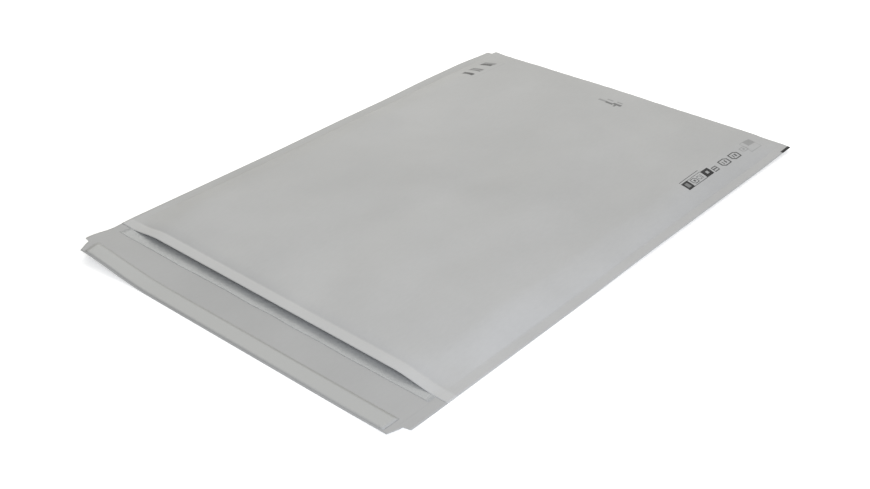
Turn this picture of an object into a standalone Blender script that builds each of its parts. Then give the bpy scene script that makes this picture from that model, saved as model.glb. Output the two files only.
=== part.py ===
"""Padded postal envelope, lying on its back with the flap open.

Frame: metres, +X along the mouth, +Y from the flap to the bottom fold, +Z up.
The origin is under the middle of the envelope, on the surface that it lies on.
"""

import math

import bmesh
import bpy

MM = 0.001

# Driving sizes of the envelope, outside to outside
WIDTH = 370 * MM
BODY_LENGTH = 480 * MM
FLAP_LENGTH = 50 * MM
PAPER = 0.25 * MM
GAP = 0.2 * MM

# Side seals and the padded height between them
SEAL_MARGIN = 10 * MM
SEAL_HEIGHT = 2 * PAPER
SEAL_ROOT = 0.15 * MM
CROWN = 11.2 * MM
MOUTH_HEIGHT = 6.6 * MM
SIDE_RISE = 30 * MM
FOLD_RISE = 40 * MM
MOUTH_RISE = 90 * MM
MOUTH_BAND = 11 * MM
HIDDEN_EDGE = 0.1 * MM

# Where the hollow of the paper, the lining and its pocket stop, inside the seals and the fold
HOLLOW_INSET = 1 * MM
FOLD_WALL = 0.3 * MM
LINING_INSET = 5 * MM
LINING_FROM_FOLD = 3.5 * MM
POCKET_INSET = 8 * MM
POCKET_FROM_FOLD = 12 * MM
FLOOR_INSET = 6.5 * MM
FLOOR_FROM_FOLD = 9 * MM

# Bubble lining
FILM = 0.2 * MM
FLOOR_PAD = 1.3 * MM
ROOF_PAD = 3 * MM
PAD_RISE = 90 * MM
LIP = 7.5 * MM

# Corner bites of the flap, and the strip that closes it
BITE_WIDTH = 9.5 * MM
BITE_LENGTH = 12.5 * MM
BITE_STEPS = 5
BITE_ROUNDNESS = 0.6
STRIP_LENGTH = 338 * MM
STRIP_WIDTH = 9 * MM
LINER_LENGTH = 342 * MM
LINER_WIDTH = 15 * MM
STRIP_THICKNESS = 0.12 * MM
STRIP_FROM_EDGE = 9 * MM

# Grid lines of the padded forms: distances inside the seal line and inside the fold
SLOPE_LINES = [d * MM for d in (0, 1, 3, 5, 8, 12, 17, 23, 31)]
BULGE_LINES = [d * MM for d in (0, 0.3, 1.5, 3.5, 7, 12, 19, 28, 40)]
LEVEL_COLUMNS = 3
LEVEL_ROWS = 4
MOUTH_ROWS = 9

# Worked out from the sizes above
FLAP_EDGE = -(BODY_LENGTH + FLAP_LENGTH) / 2
MOUTH = FLAP_EDGE + FLAP_LENGTH
FOLD = MOUTH + BODY_LENGTH
HALF = WIDTH / 2
SEAL = HALF - SEAL_MARGIN
LINING_BOTTOM = PAPER + GAP


def clear_scene():
    for obj in list(bpy.data.objects):
        bpy.data.objects.remove(obj, do_unlink=True)


def new_collection(name):
    collection = bpy.data.collections.new(name)
    bpy.context.scene.collection.children.link(collection)
    return collection


def new_material(name, colour, roughness):
    material = bpy.data.materials.new(name)
    material.use_nodes = True
    shader = material.node_tree.nodes["Principled BSDF"]
    shader.inputs["Base Color"].default_value = (*colour, 1)
    shader.inputs["Roughness"].default_value = roughness
    shader.inputs["Metallic"].default_value = 0
    return material


def smooth(t):
    """0 to 1 with a level start and end."""
    t = min(max(t, 0), 1)
    return t * t * (3 - 2 * t)


def round_rise(distance, length):
    """0 to 1 along a quarter of an ellipse, steep at the start."""
    t = min(max(distance / length, 0), 1)
    return math.sqrt(t * (2 - t))


def side_rise(distance):
    """0 to 1 along a parabola, from a side seal up to the level middle."""
    t = min(max(distance / SIDE_RISE, 0), 1)
    return t * (2 - t)


def ridge(y, fold_end):
    """Height of the paper's top face along the middle of the envelope."""
    inside = y - MOUTH - MOUTH_BAND
    height = MOUTH_HEIGHT + (CROWN - MOUTH_HEIGHT) * smooth(inside / MOUTH_RISE)
    return height * round_rise(fold_end - y, FOLD_RISE)


def paper_top(x, y):
    rise = side_rise(SEAL - abs(x))
    return SEAL_HEIGHT + (max(ridge(y, FOLD), SEAL_HEIGHT) - SEAL_HEIGHT) * rise


def paper_inside(x, y):
    """Underside of the front panel. It runs into the back panel at the seals."""
    rise = side_rise(SEAL - HOLLOW_INSET - abs(x))
    height = max(ridge(y, FOLD - FOLD_WALL) - PAPER, SEAL_ROOT)
    return SEAL_ROOT + (height - SEAL_ROOT) * rise


def lining_top(x, y):
    return max(paper_inside(x, y) - GAP, LINING_BOTTOM + FILM)


def pocket_top(x, y):
    """Underside of the upper bubble layer, which is pressed flat at the mouth."""
    inside = y - MOUTH - MOUTH_BAND
    layer = FILM + (ROOF_PAD - FILM) * smooth(inside / PAD_RISE)
    return max(lining_top(x, y) - layer, LINING_BOTTOM + HIDDEN_EDGE)


def lining_floor(x, y):
    """Top of the lower bubble layer, which thins to bare film at the mouth."""
    inside = y - MOUTH - MOUTH_BAND
    return LINING_BOTTOM + FILM + (FLOOR_PAD - FILM) * smooth(inside / MOUTH_BAND)


def across(first):
    """Grid lines over the width, from this distance inside the seal line on each side.

    Every form takes its lines from the same list, so that their faces run alike.
    """
    edge = [HALF - HIDDEN_EDGE] if first < 0 else []
    edge += [SEAL - distance for distance in SLOPE_LINES if distance >= first]
    inner = edge[-1]
    level = [inner * i / LEVEL_COLUMNS for i in range(1, LEVEL_COLUMNS)]
    half = level + edge[::-1]
    return [-x for x in reversed(half)] + [0] + half


def along(start, first):
    """Grid lines over the length, from start to this distance inside the fold."""
    slope_start = MOUTH + MOUTH_BAND
    slope_end = slope_start + MOUTH_RISE
    bulge = FOLD - BULGE_LINES[-1]
    lines = [start, slope_start]
    lines += [slope_start + MOUTH_RISE * i / MOUTH_ROWS for i in range(1, MOUTH_ROWS + 1)]
    lines += [slope_end + (bulge - slope_end) * i / LEVEL_ROWS for i in range(1, LEVEL_ROWS)]
    lines += [FOLD - distance for distance in reversed(BULGE_LINES) if distance >= first]
    return lines


def form_under(name, x_lines, y_lines, top, bottom, collection):
    """A closed form: a grid raised to top(x, y), and the same grid at bottom below it."""
    mesh = bpy.data.meshes.new(name)
    obj = bpy.data.objects.new(name, mesh)
    collection.objects.link(obj)
    columns = len(x_lines) - 1
    rows = len(y_lines) - 1
    bm = bmesh.new()
    bmesh.ops.create_grid(bm, x_segments=columns, y_segments=rows, size=1)
    for vert in bm.verts:
        x = x_lines[round((vert.co.x + 1) / 2 * columns)]
        y = y_lines[round((vert.co.y + 1) / 2 * rows)]
        vert.co = (x, y, top(x, y))
    raised = list(bm.faces)
    grown = bmesh.ops.extrude_face_region(bm, geom=raised, use_keep_orig=True)
    for item in grown["geom"]:
        if isinstance(item, bmesh.types.BMVert):
            item.co.z = bottom
    bmesh.ops.recalc_face_normals(bm, faces=bm.faces)
    bm.to_mesh(mesh)
    bm.free()
    return obj


def boolean(obj, other, operation):
    modifier = obj.modifiers.new(other.name, "BOOLEAN")
    modifier.operation = operation
    modifier.solver = "EXACT"
    modifier.object = other
    other.hide_render = True
    other.display_type = "WIRE"


def bite_points(side):
    """The concave bite out of one outer corner of the flap, as an arc of points."""
    points = []
    for i in range(BITE_STEPS + 1):
        angle = math.radians(90 * i / BITE_STEPS)
        x = HALF - BITE_WIDTH * math.sin(angle)
        y = FLAP_EDGE + BITE_LENGTH * math.cos(angle) ** BITE_ROUNDNESS
        points.append((side * x, y))
    return points


def back_panel(collection):
    """The back panel and the flap: one flat stretch of the sheet."""
    curve = bpy.data.curves.new("back_panel", "CURVE")
    curve.dimensions = "2D"
    curve.fill_mode = "BOTH"
    curve.extrude = PAPER / 2
    outline = bite_points(1) + list(reversed(bite_points(-1)))
    outline += [(-HALF, FOLD - HIDDEN_EDGE), (HALF, FOLD - HIDDEN_EDGE)]
    spline = curve.splines.new("POLY")
    spline.points.add(len(outline) - 1)
    for point, (x, y) in zip(spline.points, outline):
        point.co = (x, y, 0, 1)
    spline.use_cyclic_u = True
    guide = bpy.data.objects.new("back_panel_outline", curve)
    guide.location.z = PAPER / 2
    collection.objects.link(guide)
    bpy.context.view_layer.update()
    graph = bpy.context.evaluated_depsgraph_get()
    mesh = bpy.data.meshes.new_from_object(guide.evaluated_get(graph))
    mesh.transform(guide.matrix_world)
    bm = bmesh.new()
    bm.from_mesh(mesh)
    bmesh.ops.remove_doubles(bm, verts=bm.verts, dist=0.01 * MM)
    bmesh.ops.recalc_face_normals(bm, faces=bm.faces)
    bm.to_mesh(mesh)
    bm.free()
    panel = bpy.data.objects.new("back_panel", mesh)
    collection.objects.link(panel)
    bpy.data.objects.remove(guide)
    return panel


def paper_shell(parts, cutters):
    """One folded sheet: front panel, bottom fold, back panel and flap, sealed at its sides."""
    shell = form_under(
        "paper_shell", across(-1), along(MOUTH, 0), paper_top, SEAL_ROOT, parts
    )
    hollow = form_under(
        "paper_hollow",
        across(HOLLOW_INSET),
        along(MOUTH - SEAL_MARGIN, FOLD_WALL),
        paper_inside,
        -PAPER,
        cutters,
    )
    boolean(shell, hollow, "DIFFERENCE")
    boolean(shell, back_panel(cutters), "UNION")
    shell.data.materials.append(new_material("white_kraft", (0.8, 0.8, 0.79), 0.75))


def bubble_lining(parts, cutters):
    """The bag of bubble film: an upper and a lower layer, open at the mouth."""
    lining = form_under(
        "bubble_lining",
        across(LINING_INSET),
        along(MOUTH + HIDDEN_EDGE, LINING_FROM_FOLD),
        lining_top,
        LINING_BOTTOM + HIDDEN_EDGE / 2,
        parts,
    )
    pocket = form_under(
        "lining_pocket",
        across(POCKET_INSET),
        along(MOUTH - SEAL_MARGIN, POCKET_FROM_FOLD),
        pocket_top,
        0,
        cutters,
    )
    floor = form_under(
        "lining_floor",
        [FLOOR_INSET - SEAL, SEAL - FLOOR_INSET],
        [MOUTH - LIP, MOUTH + MOUTH_BAND, MOUTH + 2 * MOUTH_BAND, FOLD - FLOOR_FROM_FOLD],
        lining_floor,
        LINING_BOTTOM,
        cutters,
    )
    boolean(lining, pocket, "DIFFERENCE")
    boolean(lining, floor, "UNION")
    lining.data.materials.append(new_material("bubble_film", (0.85, 0.87, 0.88), 0.3))


def flap_strip(name, length, width, bottom, material, parts):
    """A thin straight band that lies along the flap's outer edge."""
    bpy.ops.mesh.primitive_cube_add(size=1)
    strip = bpy.context.object
    strip.name = name
    strip.data.name = name
    middle = FLAP_EDGE + STRIP_FROM_EDGE
    for vert in strip.data.vertices:
        vert.co.x *= length
        vert.co.y = middle + vert.co.y * width
        vert.co.z = bottom + (vert.co.z + 0.5) * STRIP_THICKNESS
    strip.data.materials.append(material)
    for collection in list(strip.users_collection):
        collection.objects.unlink(strip)
    parts.objects.link(strip)
    return bottom + STRIP_THICKNESS


def closing_strip(parts):
    """The band of glue on the flap, and the peel-off liner that covers it."""
    glue = new_material("adhesive", (0.82, 0.8, 0.72), 0.4)
    liner = new_material("liner_paper", (0.84, 0.85, 0.84), 0.45)
    glue_top = flap_strip(
        "adhesive_strip", STRIP_LENGTH, STRIP_WIDTH, PAPER + GAP, glue, parts
    )
    flap_strip(
        "release_liner", LINER_LENGTH, LINER_WIDTH, glue_top + GAP, liner, parts
    )


def main():
    clear_scene()
    parts = new_collection("padded_envelope")
    cutters = new_collection("cutters")
    paper_shell(parts, cutters)
    bubble_lining(parts, cutters)
    closing_strip(parts)


main()
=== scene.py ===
import math

import bmesh
import bpy
from mathutils import Euler, Matrix, Vector, noise


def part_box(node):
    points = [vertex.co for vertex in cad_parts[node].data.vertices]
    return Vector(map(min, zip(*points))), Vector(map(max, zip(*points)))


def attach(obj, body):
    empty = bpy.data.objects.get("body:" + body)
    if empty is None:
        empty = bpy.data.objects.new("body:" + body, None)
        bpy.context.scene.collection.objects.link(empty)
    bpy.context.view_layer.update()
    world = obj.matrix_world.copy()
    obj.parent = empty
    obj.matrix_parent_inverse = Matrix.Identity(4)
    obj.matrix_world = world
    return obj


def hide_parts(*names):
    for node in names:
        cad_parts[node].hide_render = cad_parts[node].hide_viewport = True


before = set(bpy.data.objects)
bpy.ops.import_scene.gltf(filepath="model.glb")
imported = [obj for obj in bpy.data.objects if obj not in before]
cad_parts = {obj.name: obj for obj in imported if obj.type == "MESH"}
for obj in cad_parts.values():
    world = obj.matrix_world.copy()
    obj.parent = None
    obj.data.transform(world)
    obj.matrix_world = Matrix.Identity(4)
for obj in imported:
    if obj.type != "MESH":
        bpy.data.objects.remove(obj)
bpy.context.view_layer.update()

MM = 0.001

# The studio: a camera that looks down along the mouth from the flap's right-hand end, a wide white
# light table that glows a little, soft light from all round, and a cooler, low box on the right.
CAMERA_TILT = 58.43
CAMERA_TURN = 39.58
CAMERA_ROLL = -0.19
TABLE_REACH = 6
TABLE_DROP = 0.2 * MM

camera_data = bpy.data.cameras.new("camera")
camera_data.sensor_width = 36
camera_data.lens = 48.7
camera_data.shift_x = -0.0779
camera_data.clip_start = 0.01
camera = bpy.data.objects.new("camera", camera_data)
camera.location = (0.6054, -0.6665, 0.5028)
turn = Euler((math.radians(CAMERA_TILT), 0, math.radians(CAMERA_TURN))).to_matrix().to_4x4()
roll = Matrix.Rotation(math.radians(CAMERA_ROLL), 4, "Z")
camera.rotation_euler = (turn @ roll).to_euler()
bpy.context.scene.collection.objects.link(camera)
bpy.context.scene.camera = camera
bpy.context.scene.view_settings.view_transform = "Standard"

world = bpy.data.worlds.new("studio")
world.use_nodes = True
background = world.node_tree.nodes["Background"]
background.inputs["Color"].default_value = (1, 0.995, 0.965, 1)
background.inputs["Strength"].default_value = 0.55
bpy.context.scene.world = world


def soft_box(name, place, size, power, colour):
    """A square area light that faces the middle of the table."""
    data = bpy.data.lights.new(name, "AREA")
    data.size = size
    data.energy = power
    data.color = colour
    light = bpy.data.objects.new(name, data)
    light.location = place
    light.rotation_euler = (-Vector(place)).to_track_quat("-Z", "Y").to_euler()
    bpy.context.scene.collection.objects.link(light)


soft_box("right_box", (1.15, -0.7, 0.46), size=0.7, power=12.5, colour=(0.86, 0.9, 1))
soft_box("back_box", (-0.3, 1.6, 1.5), size=1.4, power=8.5, colour=(1, 0.98, 0.95))
soft_box("left_box", (-1.15, 0.65, 1.1), size=1.2, power=10.2, colour=(1, 1, 0.96))


class Wire:
    """A shader value that takes part in plain sums, which add their own Math nodes."""

    def __init__(self, finish, socket):
        self.finish = finish
        self.socket = socket

    def math(self, operation, *terms, clamp=False):
        settings = {"operation": operation, "use_clamp": clamp}
        return self.finish.node("ShaderNodeMath", settings, dict(enumerate(terms)))

    def __add__(self, other):
        return self.math("ADD", self, other)

    def __sub__(self, other):
        return self.math("SUBTRACT", self, other)

    def __rsub__(self, other):
        return self.math("SUBTRACT", other, self)

    def __mul__(self, other):
        return self.math("MULTIPLY", self, other)

    def __truediv__(self, other):
        return self.math("DIVIDE", self, other)

    def __abs__(self):
        return self.math("ABSOLUTE", self)

    __radd__ = __add__
    __rmul__ = __mul__

    def near(self, middle, reach):
        """1 where the value is within reach of middle, and 0 elsewhere."""
        return self.math("COMPARE", self, middle, reach)

    def fade(self, start, end):
        """0 at start and 1 at end, level beyond them, with a soft step between."""
        settings = {"interpolation_type": "SMOOTHSTEP"}
        limits = {"From Min": start, "From Max": end, "To Min": 0, "To Max": 1}
        inputs = {"Value": self, **limits}
        return self.finish.node("ShaderNodeMapRange", settings, inputs)

    def either(self, other):
        return self.math("MAXIMUM", self, other)


class Finish:
    """One surface's material, and the nodes that feed its shader."""

    def __init__(self, name, **constants):
        self.material = bpy.data.materials.new(name)
        self.material.use_nodes = True
        self.tree = self.material.node_tree
        self.shader = self.tree.nodes["Principled BSDF"]
        for socket, value in constants.items():
            self.shader.inputs[socket.replace("_", " ")].default_value = value

    def node(self, kind, settings, inputs, output=0):
        made = self.tree.nodes.new(kind)
        for name, value in settings.items():
            setattr(made, name, value)
        for name, value in inputs.items():
            self.feed(made.inputs[name], value)
        return Wire(self, made.outputs[output])

    def feed(self, socket, value):
        if isinstance(value, Wire):
            self.tree.links.new(value.socket, socket)
        else:
            socket.default_value = value

    def noise(self, scale, detail=2, stretch=(1, 1, 1)):
        """Noise from 0 to 1 on the object's own coordinates, in cycles a metre."""
        place = self.node("ShaderNodeTexCoord", {}, {}, "Object")
        place = self.node("ShaderNodeMapping", {}, {"Vector": place, "Scale": stretch})
        inputs = {"Vector": place, "Scale": scale, "Detail": detail}
        return self.node("ShaderNodeTexNoise", {}, inputs)

    def mix(self, amount, first, second):
        """One colour to another, as amount goes from 0 to 1."""
        settings = {"data_type": "RGBA"}
        return self.node("ShaderNodeMix", settings, {0: amount, 6: first, 7: second}, 2)

    def bump(self, height, distance, strength=1):
        inputs = {"Height": height, "Distance": distance, "Strength": strength}
        return self.node("ShaderNodeBump", {}, inputs)


table = Finish("table_top", Roughness=0.9, Emission_Strength=0.26)
table.feed(table.shader.inputs["Base Color"], (0.97, 0.97, 0.97, 1))
table_mesh = bpy.data.meshes.new("table")
bm = bmesh.new()
bmesh.ops.create_grid(bm, x_segments=1, y_segments=1, size=TABLE_REACH)
bmesh.ops.translate(bm, verts=bm.verts, vec=(0, 0, -TABLE_DROP))
bm.to_mesh(table_mesh)
bm.free()
table_mesh.materials.append(table.material)
table_top = bpy.data.objects.new("table", table_mesh)
bpy.context.scene.collection.objects.link(table_top)


# The paper: one sheet of white kraft, folded once at the far end and heat-sealed to itself along
# both long sides. The near end of the back panel runs on past the mouth as the flap.
shell_low, shell_high = (Vector(corner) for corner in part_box("paper_shell"))
HALF = shell_high.x
FLAP_EDGE = shell_low.y
FOLD = shell_high.y
FLAP = 50 * MM
MOUTH = FLAP_EDGE + FLAP
PLY = 0.2 * MM
WELD = 0.05 * MM
SEAL_TOP = 2 * PLY + WELD
SEAL_WIDTH = 9.5 * MM
WAVE_ROOM = 0.4 * MM
CROWN = shell_high.z - WAVE_ROOM

# Places where the edges leave the table, each with its rise, where it starts along the side and
# how long it takes, in millimetres.
LEFT_LIFTS = ((0.8, -230, 30), (1.3, -60, 120), (1.3, 90, 80), (-2, 210, 60))
RIGHT_LIFTS = ((1.6, -80, 120), (0.9, 205, 55))
LEFT_REACH = 32 * MM
RIGHT_REACH = 34 * MM
CURL_HEIGHT = 7.2
CURL_PULL = 11 * MM
CURL_REACH = 110 * MM
CURL_FULL_AT = 0.8
RIGHT_CURL_HEIGHT = 0.7
RIGHT_CURL_REACH = 60 * MM

# The fold's height along its length, and how it is pinched at each end.
FOLD_PUFF = 5.1 * MM
FOLD_SWELL = 0.9 * MM
SWELL_START = -170 * MM
SWELL_LENGTH = 120 * MM
FOLD_PEAK = 0.8 * MM
PEAK_WIDTH = 35 * MM
FOLD_TILT = 0.6 * MM
FOLD_WAVE = 0.35 * MM
LEFT_PINCH_START = 4 * MM
LEFT_PINCH = 11 * MM
RIGHT_PINCH = 40 * MM
RIGHT_PINCH_ROUND = 1.25

# The front panel's slopes, from the seals, the mouth and the fold up to the crown.
SIDE_SLOPE = 31 * MM
RIGHT_SLOPE = 0.86 * SIDE_SLOPE
SLOPE_ROUND = 1.7
FOLD_SLOPE = 45 * MM
MOUTH_PUFF = 4.9 * MM
MOUTH_PINCH_START = 8 * MM
MOUTH_PINCH = 44 * MM
MOUTH_SLANT = 1.6 * MM
MOUTH_OFFSET = 0.4 * MM
LIP_DROP = 0.25 * MM
CREASE = 10 * MM
CREASE_DEPTH = 0.5 * MM
CREASE_WIDTH = 1.7 * MM
SHOULDER_SHARE = 0.17
SHOULDER_LENGTH = 9 * MM
BODY_SLOPE = 125 * MM

# Waves in the paper: broad ones all over, gathers beside the seals, and tucks at the fold.
BROAD_WAVE = 3.4 * MM
SMALL_WAVE = 0.7 * MM
WAVE_FROM_FOLD = 50 * MM
WAVE_FROM_MOUTH = 45 * MM
GATHER = 0.6 * MM
GATHER_LEAST = 0.35
GATHER_FROM_SIDE = 15 * MM
GATHER_WIDTH = 7 * MM
TUCK = 0.3 * MM
TUCK_LENGTH = 11 * MM

# The bites out of the flap's corners, measured from the mouth: a short step, then a taper.
BITE_STEP_AT = 36.6 * MM
BITE_STEP_RUN = 1.6 * MM
BITE_STEP = 6.2 * MM
TAPER_AT = 38 * MM
TAPER_RUN = 14 * MM
TAPER_BITE = 3.3 * MM
BITE_MARGIN = 20 * MM


def ease(t):
    t = min(max(t, 0), 1)
    return t * t * (3 - 2 * t)


def bow(t, power=2):
    """0 to 1, steep at the start and level at the end."""
    return 1 - (1 - min(max(t, 0), 1)) ** power


def bell(distance, width):
    """1 at no distance, and almost 0 at twice the width."""
    return math.exp(-((distance / width) ** 2))


def ripple(x, y, x_size, y_size, seed):
    """Smooth noise from about -1 to 1, with hills of the given size in metres."""
    return noise.noise(Vector((x / x_size, y / y_size, seed)))


def edge_lift(lifts, y):
    return sum(rise * ease((y - start * MM) / (length * MM)) for rise, start, length in lifts)


def past_mouth(y):
    """0 at the mouth and 1 at the flap's outer edge."""
    return min(max((MOUTH - y) / FLAP, 0), 1)


def lift(x, y):
    """How far the whole envelope stands off the table: its side edges, and the flap's left end."""
    from_left = HALF + x
    from_right = HALF - x
    edges = edge_lift(LEFT_LIFTS, y) * (1 - ease(from_left / LEFT_REACH))
    edges += edge_lift(RIGHT_LIFTS, y) * (1 - ease(from_right / RIGHT_REACH))
    flap = CURL_HEIGHT * ease(past_mouth(y) / CURL_FULL_AT) * (1 - ease(from_left / CURL_REACH))
    flap += RIGHT_CURL_HEIGHT * past_mouth(y) ** 2 * (1 - ease(from_right / RIGHT_CURL_REACH))
    return (edges + flap) * MM


def pull(x, y):
    """How far the curl at the flap's left end draws the flap in."""
    return CURL_PULL * past_mouth(y) ** 1.3 * (1 - ease((HALF + x) / CURL_REACH))


def mouth_line(x):
    """Where the front panel's cut edge lies: a little further in at the left."""
    return MOUTH + MOUTH_OFFSET - MOUTH_SLANT * x / HALF


def fold_puff(x):
    """Height of the fold, pinched flat where the side seals run into it."""
    full = FOLD_PUFF + FOLD_SWELL * ease((x - SWELL_START) / SWELL_LENGTH)
    full += FOLD_PEAK * bell(x, PEAK_WIDTH) - FOLD_TILT * x / HALF - SEAL_TOP
    full += FOLD_WAVE * ripple(x, 0, 40 * MM, 1, seed=5.5)
    from_side = HALF - abs(x)
    if x < 0:
        return SEAL_TOP + full * ease((from_side - LEFT_PINCH_START) / LEFT_PINCH)
    return SEAL_TOP + full * bow(from_side / RIGHT_PINCH, RIGHT_PINCH_ROUND)


def mouth_puff(x):
    return (MOUTH_PUFF - SEAL_TOP) * ease((HALF - abs(x) - MOUTH_PINCH_START) / MOUTH_PINCH)


def waves(x, y):
    """Broad and small waves, for the panel away from its edges."""
    broad = ripple(x + 0.5 * y, y, 75 * MM, 105 * MM, seed=1.5)
    small = ripple(x, y, 30 * MM, 38 * MM, seed=7.5)
    return BROAD_WAVE * broad + SMALL_WAVE * small


def gathers(x, y):
    """Short creases across the paper beside each seal, stronger in some stretches."""
    stretch = max(ripple(0, y, 1, 55 * MM, seed=3.5 + (x > 0)), 0)
    depth = GATHER * bell(HALF - abs(x) - GATHER_FROM_SIDE, GATHER_WIDTH)
    depth *= GATHER_LEAST + (1 - GATHER_LEAST) * stretch
    return depth * ripple(x, y, 60 * MM, 6.5 * MM, seed=4.5)


def front_height(x, y):
    """Top of the front panel above the back panel's underside."""
    from_side = HALF - abs(x)
    from_crease = y - mouth_line(x) - CREASE
    from_fold = FOLD - y
    slope = SIDE_SLOPE if x < 0 else RIGHT_SLOPE
    slope *= 1 + 0.12 * ripple(x, y, 1, 80 * MM, seed=2.5)
    rise = bow((from_side - SEAL_WIDTH) / slope, SLOPE_ROUND)
    mouth = mouth_puff(x) - LIP_DROP * (1 - ease((from_crease + CREASE) / CREASE))
    step = SHOULDER_SHARE * ease(from_crease / SHOULDER_LENGTH)
    step += (1 - SHOULDER_SHARE) * bow(from_crease / BODY_SLOPE)
    height = mouth + ((CROWN - SEAL_TOP) * rise - mouth) * step
    height -= CREASE_DEPTH * bell(from_crease, CREASE_WIDTH) * ease(rise * 1.6)
    fold = fold_puff(x) - SEAL_TOP
    height = fold + (max(height, 0) - fold) * bow(from_fold / FOLD_SLOPE)
    soft = ease(from_fold / WAVE_FROM_FOLD) * ease((from_crease + CREASE) / WAVE_FROM_MOUTH)
    height += waves(x, y) * ease(rise) * soft + gathers(x, y)
    tuck = bell(from_fold, TUCK_LENGTH) * ease((from_side - 10 * MM) / (20 * MM))
    height += TUCK * tuck * ripple(x, y, 9 * MM, 30 * MM, seed=6.5)
    return SEAL_TOP + max(height, 0)


def half_width(y):
    """Half the sheet's width: it narrows where the flap's corners are bitten off."""
    past = MOUTH - y
    step = BITE_STEP * ease((past - BITE_STEP_AT) / BITE_STEP_RUN)
    return HALF - step - TAPER_BITE * ease((past - TAPER_AT) / TAPER_RUN)


def narrowed(x, y):
    """Moves a column near the side inwards where the sheet is narrower."""
    kept = HALF - BITE_MARGIN
    if abs(x) <= kept:
        return x
    share = (abs(x) - kept) / BITE_MARGIN
    return math.copysign(kept + share * (half_width(y) - kept), x)


def graded(start, *stretches):
    """Places from start on, through stretches that each give an end and a step."""
    places = [start]
    for end, step in stretches:
        count = max(round((end - places[-1]) / step), 1)
        first = places[-1]
        places += [first + (end - first) * i / count for i in range(1, count + 1)]
    return places


def sheet_piece(name, columns, rows, place, finish, thickness):
    """A sheet from a grid: each vertex goes to place(column, row), and a UV keeps its own place."""
    mesh = bpy.data.meshes.new(name)
    bm = bmesh.new()
    x_last = len(columns) - 1
    y_last = len(rows) - 1
    bmesh.ops.create_grid(bm, x_segments=x_last, y_segments=y_last, size=1)
    flat = bm.loops.layers.uv.new("flat_sheet")
    own = {}
    for vert in bm.verts:
        column = columns[round((vert.co.x + 1) / 2 * x_last)]
        row = rows[round((vert.co.y + 1) / 2 * y_last)]
        vert.co, along = place(column, row)
        own[vert] = (column + HALF, along)
    for face in bm.faces:
        face.smooth = True
        for loop in face.loops:
            loop[flat].uv = own[loop.vert]
    bm.to_mesh(mesh)
    bm.free()
    mesh.materials.append(finish.material)
    piece = bpy.data.objects.new(name, mesh)
    bpy.context.scene.collection.objects.link(piece)
    solid = piece.modifiers.new("thickness", "SOLIDIFY")
    solid.thickness = thickness
    solid.offset = -1
    return piece


def place_on_paper(x, row):
    """Where a point of the flat sheet lies: row is its part of the sheet and its place in it."""
    part, at = row
    puff = fold_puff(x)
    turn_start = FOLD - puff / 2
    if part == "front":
        y = mouth_line(x) + at / FRONT * (turn_start - mouth_line(x))
        return Vector((x, y, front_height(x, y) + lift(x, y))), at
    if part == "fold":
        y = turn_start + puff / 2 * math.sin(at)
        z = puff / 2 * (1 + math.cos(at))
        return Vector((x, y, z + lift(x, y))), FRONT + TURN_STEP * at
    if part == "back":
        y = turn_start - at / FRONT * (turn_start - MOUTH)
        return Vector((x, y, lift(x, y))), FRONT + TURN + at
    y = MOUTH - at
    x = narrowed(x, y)
    return Vector((x + pull(x, y), y, lift(x, y))), 2 * FRONT + TURN + at


FRONT = FOLD - MOUTH
TURN = 8 * MM
TURN_STEP = 2 * MM
FOLD_STEPS = 10
edge_steps = graded(0, (8 * MM, 2 * MM), (12 * MM, 1 * MM), (44 * MM, 2 * MM))
side = [HALF - step for step in edge_steps]
middle = graded(-side[-1], (side[-1], 3.4 * MM))
columns = [-x for x in side[:-1]] + middle + side[-2::-1]
front_rows = graded(
    0, (6 * MM, 1.5 * MM), (15 * MM, 0.9 * MM), (40 * MM, 2 * MM), (430 * MM, 3.4 * MM),
    (FRONT, 2.2 * MM),
)
rows = [("front", at) for at in front_rows]
rows += [("fold", math.pi * i / FOLD_STEPS) for i in range(1, FOLD_STEPS)]
rows += [("back", at) for at in graded(0, (FRONT, 14 * MM))]
flap_rows = graded(
    0, (33 * MM, 3 * MM), (36.4 * MM, 1.7 * MM), (38.4 * MM, 0.4 * MM), (FLAP, 1.9 * MM)
)
rows += [("flap", at) for at in flap_rows[1:]]

MM_IN_METRE = 1000
paper = Finish("white_kraft", Roughness=0.7, Specular_IOR_Level=0.35)
paper.shader.inputs["Sheen Weight"].default_value = 0.08
uv = paper.node("ShaderNodeUVMap", {"uv_map": "flat_sheet"}, {})
across = paper.node("ShaderNodeSeparateXYZ", {}, {0: uv}, 0) * MM_IN_METRE
along = paper.node("ShaderNodeSeparateXYZ", {}, {0: uv}, 1) * MM_IN_METRE


def field(left, right, start, end):
    """A rectangle of print on the front panel, in millimetres from its mouth-left corner."""
    wide = across.near((left + right) / 2, (right - left) / 2)
    return wide * along.near((start + end) / 2, (end - start) / 2)


def frame_of(left, right, start, end, line):
    """The outline of a rectangle."""
    inside = field(left + line, right - line, start + line, end - line)
    return field(left, right, start, end) * (1 - inside)


def badge(x, y, wide, long):
    """The outline of a rectangle with two opposite corners cut off."""
    from_middle = (across - x) / wide
    from_centre = (along - y) / long
    cut = abs(from_middle - from_centre) * 0.72
    distance = abs(from_middle).either(abs(from_centre)).either(cut)
    return distance.near(0.88, 0.12)


def any_of(fields):
    total = fields[0]
    for one in fields[1:]:
        total = total.either(one)
    return total


# The cutting mark on the fold's right end, and the two dark ends of the information panel.
solid_print = any_of([
    field(367.3, 370.8, 465.5, 484),
    field(337.6, 346.8, 341.2, 350.4) * (1 - field(339.6, 344.8, 343.4, 347.8) * 0.4),
    field(338.4, 346.6, 371.2, 382.8) * (1 - field(341, 344, 375.4, 379) * 0.75),
])
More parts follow.
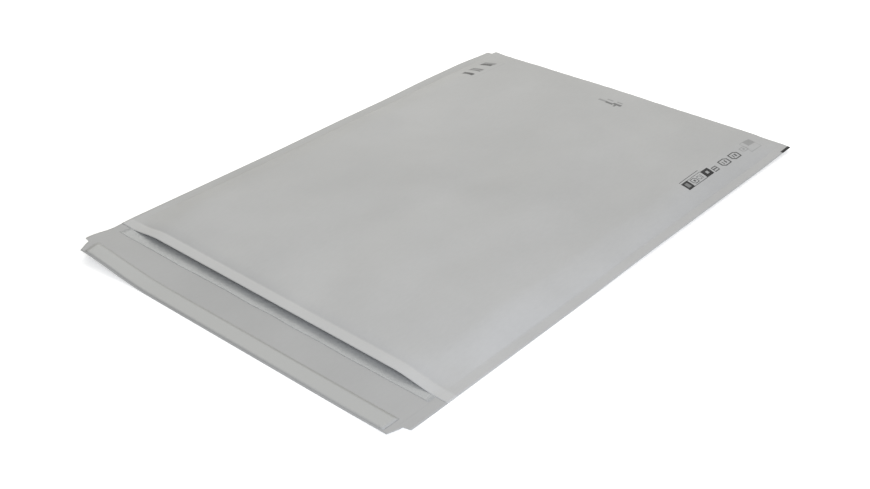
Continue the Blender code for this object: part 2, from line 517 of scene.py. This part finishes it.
# The panel's own lines, then a small mark and two badges past its far end.
line_print = any_of([
    field(335.2, 335.9, 341.8, 372),
    field(346.2, 346.8, 350, 371.5),
    field(337.9, 338.4, 350, 371.5),
    badge(342.3, 356.4, 3.1, 4),
    field(341.3, 343.4, 355.2, 357.6),
    badge(342.4, 364, 2.2, 2.2),
    field(340, 345, 367.4, 368.1),
    frame_of(341.2, 346.8, 385, 392.4, 0.9),
    field(343.2, 344.4, 385.4, 391.8),
    badge(343.6, 405.2, 4, 6.8),
    field(342, 345.4, 402.4, 403.4),
    field(342, 345.4, 405.8, 407.6),
    badge(343.9, 422.4, 4, 6.8),
    field(342.4, 345.6, 419.6, 421),
    field(342.4, 345.6, 423, 425),
])
# Bars at the far left corner and in the middle of the fold.
bar_print = any_of([
    field(27.4, 41.4, 406.6, 412.2),
    field(26.8, 40.4, 420.6, 422.4) * 0.8,
    field(26.8, 40.4, 425, 426.8) * 0.8,
    field(24.2, 39.4, 439.6, 444.8),
    field(186.5, 195, 441.8, 445.4) * 0.8,
    field(194, 203.5, 444, 448) * 0.8,
    field(197, 199.2, 440, 444) * 0.8,
])
# Paler print round the bars, and a pale badge and box near the far right corner.
faint_print = any_of([
    field(25, 41, 419.6, 428),
    field(24, 40.5, 444, 450) * 1.3,
    frame_of(18.5, 46.5, 404, 456, 0.6) * 0.3,
    badge(343.8, 439.6, 2.8, 4.9),
    field(342.8, 344.8, 438, 441),
    frame_of(336.8, 350.6, 443, 461.5, 0.6) * 0.8,
    field(336.8, 343.8, 448.5, 461),
    field(177.6, 187, 442.6, 446.2),
    field(184, 191, 449.4, 451.6),
    field(195, 201.5, 450.4, 452.8),
])
ink = any_of([solid_print, line_print * 0.85, bar_print * 0.8, faint_print * 0.32])

# The paper's tone: clouds and fibres all over, with the clouds standing in also as painted light and
# shade of the broad waves, painted light on a band from the mouth to the crease that fades out past
# it, painted shade along the seal's inner edge where the paper turns up, and painted shade on the
# flap.
INK = (0.012, 0.012, 0.012, 1)
PAPER_DARK = (0.31, 0.31, 0.308, 1)
PAPER_LIGHT = (0.62, 0.62, 0.616, 1)
MIDDLE_TONE = 0.38
SEAL_EDGE_SHADE_AT = 175.2
crease_at = CREASE / MM
flap_start = 2 * FRONT / MM
# clouds of tone in the paper, which also stand in as painted light and shade of the broad waves
clouds_and_wave_shade = paper.noise(8, 3, (1, 0.7, 1)) + paper.noise(19, 3) * 0.6 - 0.8
fibre = paper.noise(420, 4, (1, 0.35, 1)) - 0.5
# painted light on the band from the mouth to the crease
band = 1 - along.fade(crease_at - 1.5, crease_at + 1.5)
# painted light on the slope just past the crease, fading out further on
painted_light_past_crease = along.fade(crease_at - 0.5, crease_at + 2) * (1 - along.fade(30, 160))
# painted shade along the seal's inner edge, where the paper turns up
seal_edge_shade = abs(across - HALF / MM).near(SEAL_EDGE_SHADE_AT, 0.5)
# painted shade on the flap
painted_flap_shade = along.fade(flap_start + 4, flap_start + 12)
shade = clouds_and_wave_shade * 0.3 + fibre * 0.12 + band * 0.2 + painted_light_past_crease * 0.05
shade = shade - seal_edge_shade * 0.035 - painted_flap_shade * 0.11
tone = paper.mix(shade + MIDDLE_TONE, PAPER_DARK, PAPER_LIGHT)
tone = paper.mix(ink, tone, INK)
paper.feed(paper.shader.inputs["Base Color"], tone)
paper.feed(paper.shader.inputs["Roughness"], 0.66 + fibre * 0.2 + clouds_and_wave_shade * 0.1)
crinkle = paper.noise(75, 3) * 0.5 + paper.noise(520, 2) * 0.12
paper.feed(paper.shader.inputs["Normal"], paper.bump(crinkle, 0.25 * MM, 0.35))

envelope = sheet_piece("paper_sheet", columns, rows, place_on_paper, paper, PLY)
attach(envelope, "root")
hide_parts("paper_shell")


# The lining: clear bubble film folded into a bag and caught in the side seals. Its flat backing
# faces the pocket. At the mouth its bubbles are pressed out, and the lower layer runs on as a lip.
BUBBLE = 3 * MM
BUBBLE_SHARE = 0.46
FILM = 0.08 * MM
AIR = 0.12 * MM
PRESSED = 0.02 * MM
PRESSED_BAND = 12 * MM
LIP = 7.5 * MM
LIP_GAP = 0.04 * MM
LIP_CURL = 0.1 * MM
LIP_START = MOUTH - 0.5 * MM
LINING_EDGE = 1.5 * MM
LINING_HALF = HALF - SEAL_WIDTH - LINING_EDGE
LINING_SET_BACK = 1 * MM
LINING_FOLD = FOLD - 7 * MM


def pad(x, y):
    """Height of the bubbles: full in the middle, pressed at the mouth and by the seals."""
    room = front_height(x, y) - 2 * PLY - 4 * AIR
    full = BUBBLE * ease((y - mouth_line(x) - PRESSED_BAND) / PRESSED_BAND)
    return max(min(full, room * BUBBLE_SHARE), PRESSED)


def upper_film(x, y):
    return front_height(x, y) + lift(x, y) - PLY - AIR - pad(x, y)


def lower_film(x, y):
    return lift(x, y) + PLY + AIR + pad(x, y)


def place_film(x, row):
    """Where a point of the film lies: its upper layer, its lower layer, or the lip."""
    part, at = row
    x = x * LINING_HALF / HALF
    if part == "upper":
        start = mouth_line(x) + LINING_SET_BACK
        y = start + at / FRONT * (LINING_FOLD - start)
        return Vector((x, y, upper_film(x, y))), at
    if part == "lower":
        y = LINING_FOLD - at / FRONT * (LINING_FOLD - LIP_START)
        return Vector((x, y, lower_film(x, y))), FRONT + at
    y = LIP_START - at * (1 + 0.12 * ripple(x, 0, 25 * MM, 1, seed=8.5))
    curl = LIP_CURL * (at / LIP) ** 2 * (1 + ripple(x, 0, 16 * MM, 1, seed=9.5))
    return Vector((x, y, lift(x, y) + PLY + LIP_GAP + curl)), 2 * FRONT + at


film = Finish("bubble_film", Roughness=0.3, Alpha=0.4, Specular_IOR_Level=0.45)
haze = film.noise(40, 3) - 0.5
film.feed(film.shader.inputs["Base Color"], film.mix(
    haze + 0.5, (0.54, 0.55, 0.55, 1), (0.68, 0.69, 0.69, 1)))
film.feed(film.shader.inputs["Roughness"], 0.32 + haze * 0.2)
film.feed(film.shader.inputs["Normal"], film.bump(film.noise(110, 3), 0.3 * MM, 0.4))

film_columns = graded(-HALF, (HALF, 5 * MM))
film_rows = [("upper", at) for at in graded(0, (40 * MM, 2 * MM), (FRONT, 6 * MM))]
film_rows += [("lower", at) for at in graded(0, (FRONT - 40 * MM, 6 * MM), (FRONT, 2 * MM))]
film_rows += [("lip", at) for at in graded(0, (LIP, 1 * MM))[1:]]
lining = sheet_piece("lining_film", film_columns, film_rows, place_film, film, FILM)
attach(lining, "root")
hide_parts("bubble_lining")


# The bubbles: closed domes of film full of air, in staggered rows. Those of the upper layer press on
# the front panel and those of the lower layer on the back panel, so that the pocket is lined flat.
PITCH = 10.4 * MM
ROW_PITCH = PITCH * 0.866
BUBBLE_RADIUS = PITCH * 0.46
BUBBLE_LIFT = 0.01 * MM
MERGE_REACH = 0.01 * MM
TOP_FLATNESS = 1.15
SIDE_STEEPNESS = 0.7
BUBBLES_FROM_SEAL = 8 * MM
BUBBLES_FROM_MOUTH = 22 * MM
BUBBLES_LENGTH = FRONT - 40 * MM

bubbles = Finish("bubble_skin", Roughness=0.12, Alpha=0.55, Specular_IOR_Level=0.7)
cloud = bubbles.noise(90, 2)
bubbles.feed(bubbles.shader.inputs["Base Color"], bubbles.mix(
    cloud, (0.66, 0.68, 0.7, 1), (0.82, 0.84, 0.86, 1)))
bubbles.feed(bubbles.shader.inputs["Roughness"], 0.1 + cloud * 0.12)


def bubble_cell(name):
    """Two domes a metre high, cut off flat and closed below: repeated, they make staggered rows."""
    bm = bmesh.new()
    for shift in (0, 1):
        made = bmesh.ops.create_uvsphere(bm, u_segments=8, v_segments=4, radius=1)
        size = (BUBBLE_RADIUS, BUBBLE_RADIUS, 1)
        centre = (shift * PITCH / 2, shift * ROW_PITCH, 0)
        bmesh.ops.scale(bm, verts=made["verts"], vec=size)
        bmesh.ops.translate(bm, verts=made["verts"], vec=centre)
    whole = bm.verts[:] + bm.edges[:] + bm.faces[:]
    bmesh.ops.bisect_plane(
        bm, geom=whole, plane_co=(0, 0, 0), plane_no=(0, 0, 1), clear_inner=True)
    bmesh.ops.remove_doubles(bm, verts=bm.verts, dist=MERGE_REACH)
    bmesh.ops.holes_fill(bm, edges=bm.edges, sides=0)
    mesh = bpy.data.meshes.new(name)
    bm.to_mesh(mesh)
    bm.free()
    cell = bpy.data.objects.new(name, mesh)
    bpy.context.scene.collection.objects.link(cell)
    return cell


def bubble_layer(name, direction):
    """A field of bubbles on one layer of the film, which reach for the paper."""
    cell = bubble_cell(name)
    in_row = int(2 * (HALF - SEAL_WIDTH - BUBBLES_FROM_SEAL) / PITCH)
    pairs = int(BUBBLES_LENGTH / (2 * ROW_PITCH))
    for offset, count in (((PITCH, 0, 0), in_row), ((0, 2 * ROW_PITCH, 0), pairs)):
        array = cell.modifiers.new("rows", "ARRAY")
        array.use_relative_offset = False
        array.use_constant_offset = True
        array.constant_offset_displace = offset
        array.count = count
    bpy.context.view_layer.update()
    graph = bpy.context.evaluated_depsgraph_get()
    laid = bpy.data.meshes.new_from_object(cell.evaluated_get(graph))
    bpy.data.objects.remove(cell)
    for vert in laid.vertices:
        x = vert.co.x - (in_row - 0.5) * PITCH / 2
        y = vert.co.y + MOUTH + BUBBLES_FROM_MOUTH
        swell = 0
        if vert.co.z > 0.01:
            swell = pad(x, y) * min(vert.co.z * TOP_FLATNESS, 1) ** SIDE_STEEPNESS
        base = upper_film(x, y) if direction > 0 else lower_film(x, y)
        vert.co = (x, y, base + direction * (swell + BUBBLE_LIFT))
    if direction < 0:
        laid.flip_normals()
    laid.polygons.foreach_set("use_smooth", [True] * len(laid.polygons))
    laid.materials.clear()
    laid.materials.append(bubbles.material)
    piece = bpy.data.objects.new(name, laid)
    bpy.context.scene.collection.objects.link(piece)
    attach(piece, "root")
    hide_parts("bubble_lining")


bubble_layer("upper_bubbles", 1)
bubble_layer("lower_bubbles", -1)


# The closure: a band of tacky glue along the flap's outer edge, and the smooth siliconised strip
# that covers it until the envelope is sealed. The strip is a little wider than the glue.
GLUE_LENGTH = 338 * MM
GLUE_WIDTH = 9 * MM
GLUE_BOTTOM = PLY + 0.02 * MM
LINER_LENGTH = 342 * MM
LINER_WIDTH = 15 * MM
LINER_BOTTOM = PLY + 0.09 * MM
LINER_WAVE = 0.05 * MM
STRIP_THICKNESS = 0.05 * MM
STRIP_MIDDLE = FLAP_EDGE + 9 * MM


def strip(name, node, length, width, bottom, finish, wave=0):
    """A long thin band that follows the flap's face, with waves of the given height."""

    def place(x, at):
        x = x * length / (2 * HALF)
        y = STRIP_MIDDLE + at
        top = bottom + STRIP_THICKNESS
        top += wave * (1 + ripple(x, y, 45 * MM, 30 * MM, seed=11.5))
        return Vector((x + pull(x, y), y, lift(x, y) + top)), at

    columns = graded(-HALF, (HALF, 4 * MM))
    rows = graded(-width / 2, (width / 2, 2.5 * MM))
    piece = sheet_piece(name, columns, rows, place, finish, STRIP_THICKNESS)
    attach(piece, "root")
    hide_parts(node)
    return piece


glue = Finish("tacky_glue", Roughness=0.35, Alpha=0.85)
blotch = glue.noise(60, 3)
glue.feed(glue.shader.inputs["Base Color"], glue.mix(
    blotch, (0.5, 0.48, 0.4, 1), (0.62, 0.6, 0.5, 1)))
glue.feed(glue.shader.inputs["Normal"], glue.bump(glue.noise(300, 2), 0.2 * MM, 0.6))
glue_band = strip("glue_band", "adhesive_strip", GLUE_LENGTH, GLUE_WIDTH, GLUE_BOTTOM, glue)

liner = Finish("siliconised_paper", Roughness=0.5)
drift = liner.noise(25, 3)
liner.feed(liner.shader.inputs["Base Color"], liner.mix(
    drift, (0.385, 0.387, 0.38, 1), (0.405, 0.407, 0.4, 1)))
liner.feed(liner.shader.inputs["Roughness"], 0.46 + drift * 0.12)
liner.feed(liner.shader.inputs["Normal"], liner.bump(liner.noise(120, 2), 0.2 * MM, 0.3))
liner_strip = strip(
    "peel_liner", "release_liner", LINER_LENGTH, LINER_WIDTH, LINER_BOTTOM, liner, LINER_WAVE)
